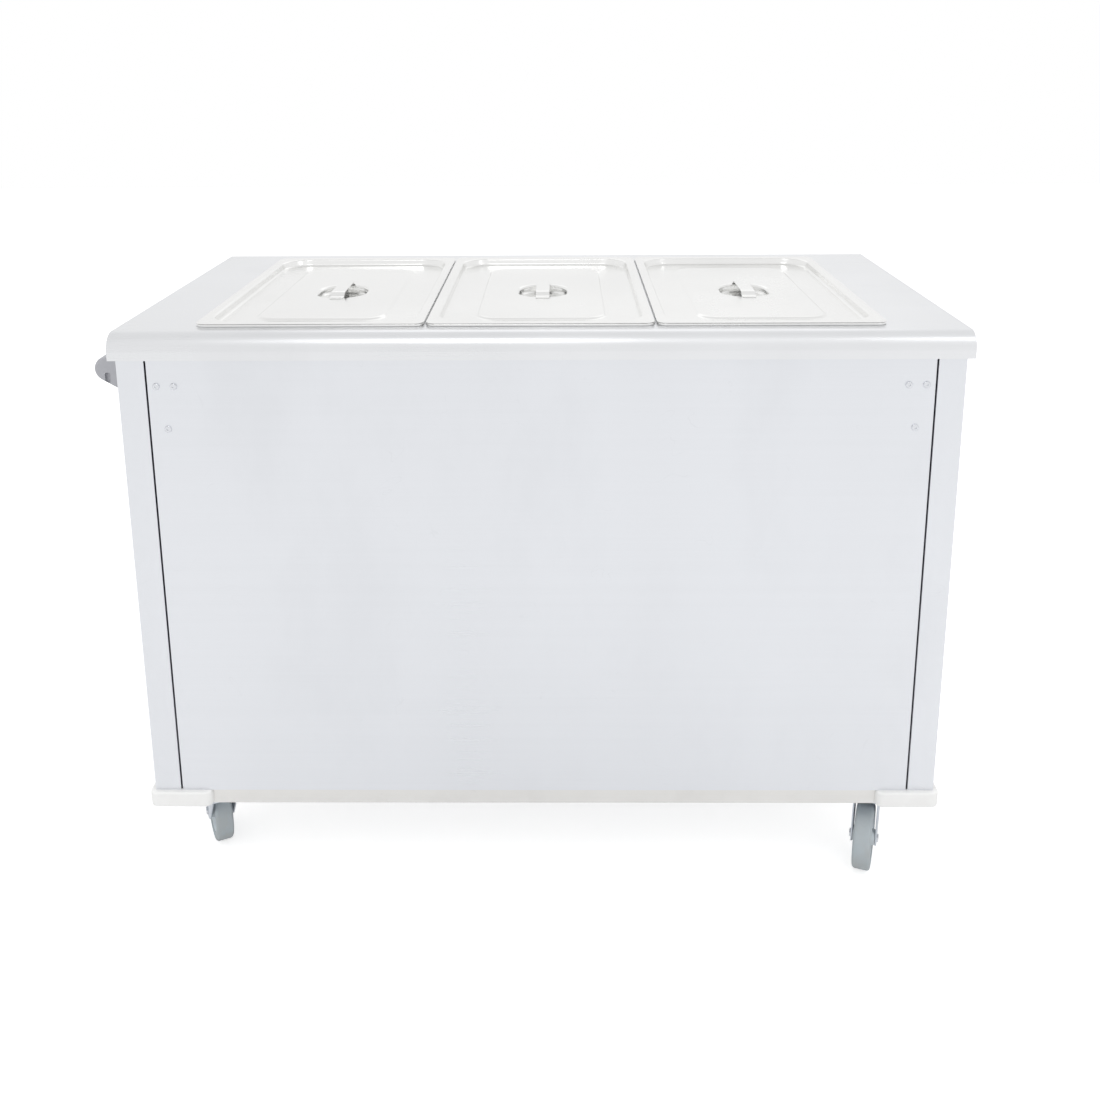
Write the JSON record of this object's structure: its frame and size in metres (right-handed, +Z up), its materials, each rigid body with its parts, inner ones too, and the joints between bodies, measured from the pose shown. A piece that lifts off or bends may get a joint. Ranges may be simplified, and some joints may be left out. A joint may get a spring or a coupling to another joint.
{
  "type": "hostess trolley",
  "caption": "Mobile hot cupboard with covered food pans in a dry-heat well, sliding doors, control strip, push handle, corner bumpers and swivel castors.",
  "frame": {"origin": "on the floor, under the middle of the whole trolley's box", "axes": "+X towards the right-hand end seen from the plain customer side, +Y towards the operator's side with the doors, +Z up"},
  "size_m": [1.259, 0.6854, 0.8746],
  "materials": {
    "top_steel": "fine brushed",
    "panel_steel": "fine brushed",
    "inner_steel": "mill",
    "base_steel": "satin",
    "screw_steel": "satin",
    "polished_steel": "bright satin",
    "element_sheath": "dull",
    "bumper_plastic": "satin",
    "bracket_plastic": "satin",
    "knob_plastic": "matte",
    "rocker_plastic": "gloss",
    "lamp_lens": "gloss",
    "zinc_steel": "bright zinc",
    "wheel_plastic": "satin",
    "tyre_rubber": "matte"
  },
  "bodies": {
    "cabinet": {"base_back_rail": "base_steel", "base_front_rail": "base_steel", "castor_bearers": "base_steel", "castor_bolts": "screw_steel", "castor_plates": "zinc_steel", "control_fascia": "panel_steel", "corner_bumpers": "bumper_plastic", "cupboard_ceiling": "inner_steel", "cupboard_floor": "inner_steel", "cupboard_heater": "element_sheath", "customer_panel": "panel_steel", "customer_side_liner": "inner_steel", "door_bottom_track": "inner_steel", "door_top_track": "inner_steel", "handle_screws": "screw_steel", "heater_guard": "inner_steel", "indicator_lamps": "lamp_lens", "left_end_panel": "panel_steel", "mains_gland": "knob_plastic", "mains_switch": "knob_plastic", "pan_divider_bars": "inner_steel", "panel_corner_brackets": "inner_steel", "panel_screws": "screw_steel", "push_handle_brackets": "bracket_plastic", "push_handle_tube": "polished_steel", "right_end_panel": "panel_steel", "shelf": "inner_steel", "shelf_rails": "inner_steel", "side_liners": "inner_steel", "thermostats": "knob_plastic", "well_heaters": "element_sheath", "well_tank": "inner_steel", "worktop": "top_steel"},
    "left_door": {"left_door": "panel_steel", "left_door_pull": "polished_steel"},
    "right_door": {"right_door": "panel_steel", "right_door_pull": "polished_steel"},
    "cupboard_knob": {"cupboard_knob": "knob_plastic"},
    "well_knob": {"well_knob": "knob_plastic"},
    "switch_rocker": {"switch_rocker": "rocker_plastic"},
    "left_pan": {"left_pan": "polished_steel"},
    "left_lid": {"left_lid": "polished_steel"},
    "middle_pan": {"middle_pan": "polished_steel"},
    "middle_lid": {"middle_lid": "polished_steel"},
    "right_pan": {"right_pan": "polished_steel"},
    "right_lid": {"right_lid": "polished_steel"},
    "front_left_swivel": {"front_left_fork": "zinc_steel"},
    "front_left_wheel": {"front_left_wheel_core": "wheel_plastic", "front_left_tyre": "tyre_rubber"},
    "front_right_swivel": {"front_right_fork": "zinc_steel"},
    "front_right_wheel": {"front_right_wheel_core": "wheel_plastic", "front_right_tyre": "tyre_rubber"},
    "rear_left_swivel": {"rear_left_fork": "zinc_steel"},
    "rear_left_wheel": {"rear_left_wheel_core": "wheel_plastic", "rear_left_tyre": "tyre_rubber"},
    "rear_left_pedal": {"rear_left_brake_pedal": "zinc_steel"},
    "rear_right_swivel": {"rear_right_fork": "zinc_steel"},
    "rear_right_wheel": {"rear_right_wheel_core": "wheel_plastic", "rear_right_tyre": "tyre_rubber"},
    "rear_right_pedal": {"rear_right_brake_pedal": "zinc_steel"}
  },
  "joints": [
    {"name": "left_pan_lift", "type": "slide", "parent": "cabinet", "child": "left_pan", "axis": [0, 0, 1], "range_m": [0, 0.2]},
    {"name": "left_lid_lift", "type": "slide", "parent": "left_pan", "child": "left_lid", "axis": [0, 0, 1], "range_m": [0, 0.1]},
    {"name": "middle_pan_lift", "type": "slide", "parent": "cabinet", "child": "middle_pan", "axis": [0, 0, 1], "range_m": [0, 0.2]},
    {"name": "middle_lid_lift", "type": "slide", "parent": "middle_pan", "child": "middle_lid", "axis": [0, 0, 1], "range_m": [0, 0.1]},
    {"name": "right_pan_lift", "type": "slide", "parent": "cabinet", "child": "right_pan", "axis": [0, 0, 1], "range_m": [0, 0.2]},
    {"name": "right_lid_lift", "type": "slide", "parent": "right_pan", "child": "right_lid", "axis": [0, 0, 1], "range_m": [0, 0.1]},
    {"name": "left_door_slide", "type": "slide", "parent": "cabinet", "child": "left_door", "axis": [1, 0, 0], "range_m": [0, 0.535]},
    {"name": "right_door_slide", "type": "slide", "parent": "cabinet", "child": "right_door", "axis": [1, 0, 0], "range_m": [-0.535, 0]},
    {"name": "cupboard_knob_turn", "type": "hinge", "parent": "cabinet", "child": "cupboard_knob", "pos_m": [0.3695, 0.2843, 0.765], "axis": [0, -1, 0], "range_deg": [0, 270]},
    {"name": "well_knob_turn", "type": "hinge", "parent": "cabinet", "child": "well_knob", "pos_m": [0.2595, 0.2843, 0.765], "axis": [0, -1, 0], "range_deg": [0, 270]},
    {"name": "switch_rock", "type": "hinge", "parent": "cabinet", "child": "switch_rocker", "pos_m": [0.4695, 0.2843, 0.765], "axis": [1, 0, 0], "range_deg": [0, 24]},
    {"name": "front_left_swivel_turn", "type": "hinge", "parent": "cabinet", "child": "front_left_swivel", "pos_m": [-0.484, -0.2587, 0.1141], "axis": [0, 0, 1], "continuous": true},
    {"name": "front_left_wheel_spin", "type": "hinge", "parent": "front_left_swivel", "child": "front_left_wheel", "pos_m": [-0.49978, -0.22634, 0.05], "axis": [-0.8988, -0.4384, 0], "continuous": true},
    {"name": "front_right_swivel_turn", "type": "hinge", "parent": "cabinet", "child": "front_right_swivel", "pos_m": [0.543, -0.2587, 0.1141], "axis": [0, 0, 1], "continuous": true},
    {"name": "front_right_wheel_spin", "type": "hinge", "parent": "front_right_swivel", "child": "front_right_wheel", "pos_m": [0.53069, -0.29253, 0.05], "axis": [0.9397, -0.342, 0], "continuous": true},
    {"name": "rear_left_swivel_turn", "type": "hinge", "parent": "cabinet", "child": "rear_left_swivel", "pos_m": [-0.484, 0.2413, 0.1141], "axis": [0, 0, 1], "continuous": true},
    {"name": "rear_left_wheel_spin", "type": "hinge", "parent": "rear_left_swivel", "child": "rear_left_wheel", "pos_m": [-0.47169, 0.27513, 0.05], "axis": [-0.9397, 0.342, 0], "continuous": true},
    {"name": "rear_left_pedal_press", "type": "hinge", "parent": "rear_left_swivel", "child": "rear_left_pedal", "pos_m": [-0.47716, 0.26009, 0.098], "axis": [-0.9397, 0.342, 0], "range_deg": [0, 12]},
    {"name": "rear_right_swivel_turn", "type": "hinge", "parent": "cabinet", "child": "rear_right_swivel", "pos_m": [0.543, 0.2413, 0.1141], "axis": [0, 0, 1], "continuous": true},
    {"name": "rear_right_wheel_spin", "type": "hinge", "parent": "rear_right_swivel", "child": "rear_right_wheel", "pos_m": [0.55878, 0.20894, 0.05], "axis": [0.8988, 0.4384, 0], "continuous": true},
    {"name": "rear_right_pedal_press", "type": "hinge", "parent": "rear_right_swivel", "child": "rear_right_pedal", "pos_m": [0.55177, 0.22332, 0.098], "axis": [0.8988, 0.4384, 0], "range_deg": [0, 12]}
  ]
}
